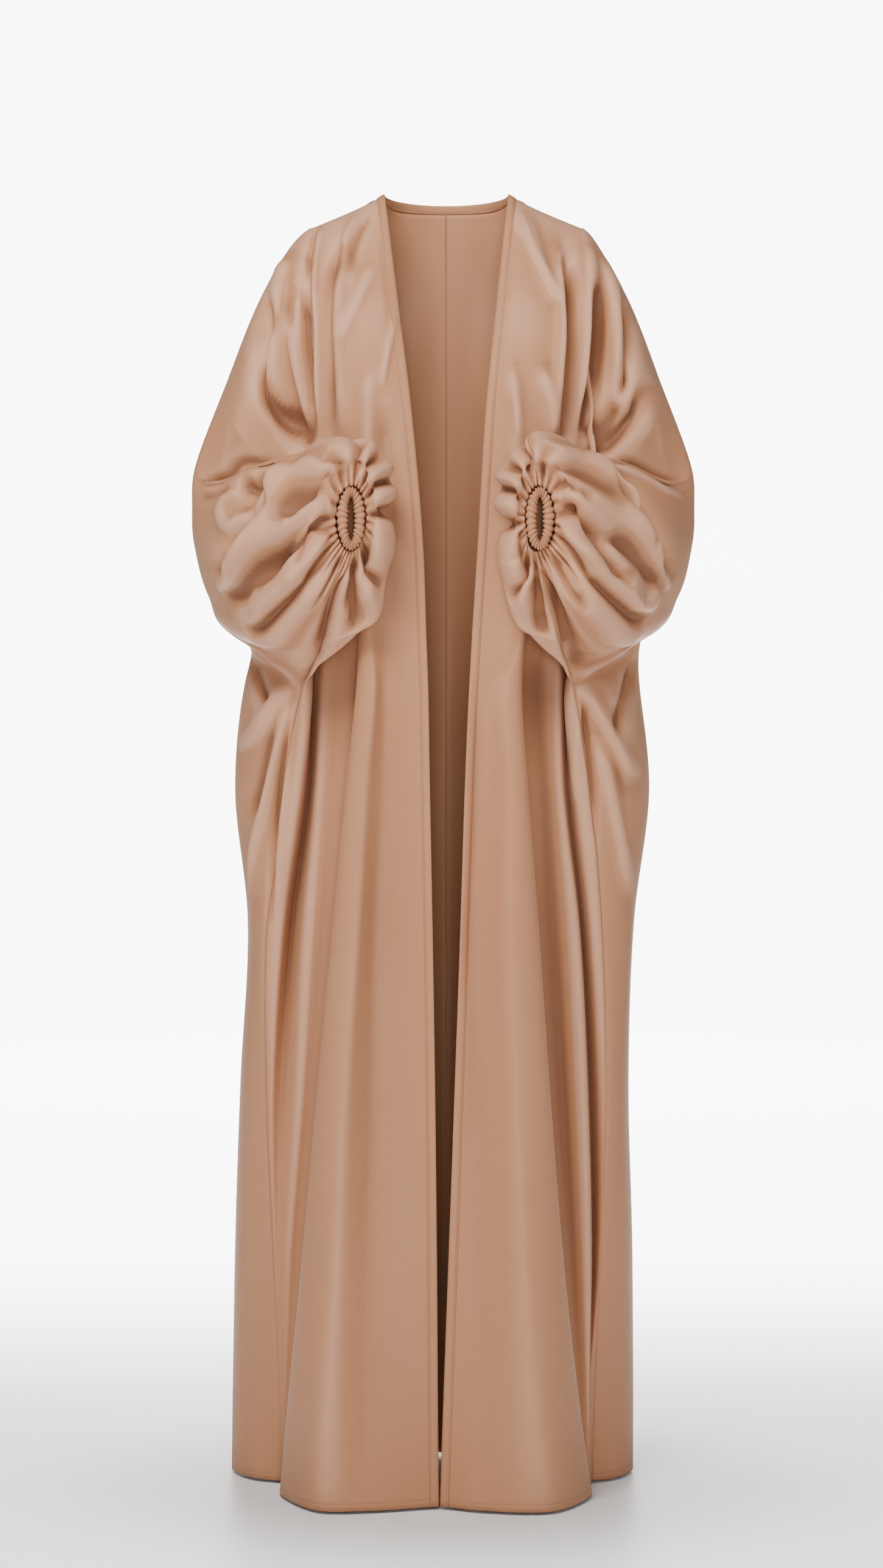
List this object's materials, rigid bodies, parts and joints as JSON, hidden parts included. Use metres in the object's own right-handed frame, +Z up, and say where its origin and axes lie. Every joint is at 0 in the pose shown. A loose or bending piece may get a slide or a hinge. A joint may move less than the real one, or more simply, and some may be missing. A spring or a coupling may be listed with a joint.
{
  "type": "abaya cloak",
  "caption": "Open-front full-length cloak with wide sleeves cut in one with the body, gathered elastic cuffs and turned front and neck edges, worn form",
  "frame": {"origin": "on the shoulder line, midway between the two neck points, where the wearer carries the cloak", "axes": "+Z up along the hang of the cloth, +Y towards the back, the open front faces -Y, the wearer's right side is at -X"},
  "size_m": [0.596, 0.4335, 1.5209],
  "materials": {
    "front_right": "matte satin-backed crepe",
    "front_left": "matte satin-backed crepe",
    "back_right": "matte satin-backed crepe",
    "back_left": "matte satin-backed crepe",
    "front_band_right": "turned and topstitched crepe edge",
    "front_band_left": "turned and topstitched crepe edge",
    "back_neck_band": "turned and topstitched crepe edge",
    "cuff_right": "crepe casing gathered on elastic",
    "cuff_left": "crepe casing gathered on elastic"
  },
  "bodies": {
    "root": {"front_right": "front_right", "front_left": "front_left", "back_right": "back_right", "back_left": "back_left", "front_band_right": "front_band_right", "front_band_left": "front_band_left", "back_neck_band": "back_neck_band", "cuff_right": "cuff_right", "cuff_left": "cuff_left"}
  },
  "joints": []
}
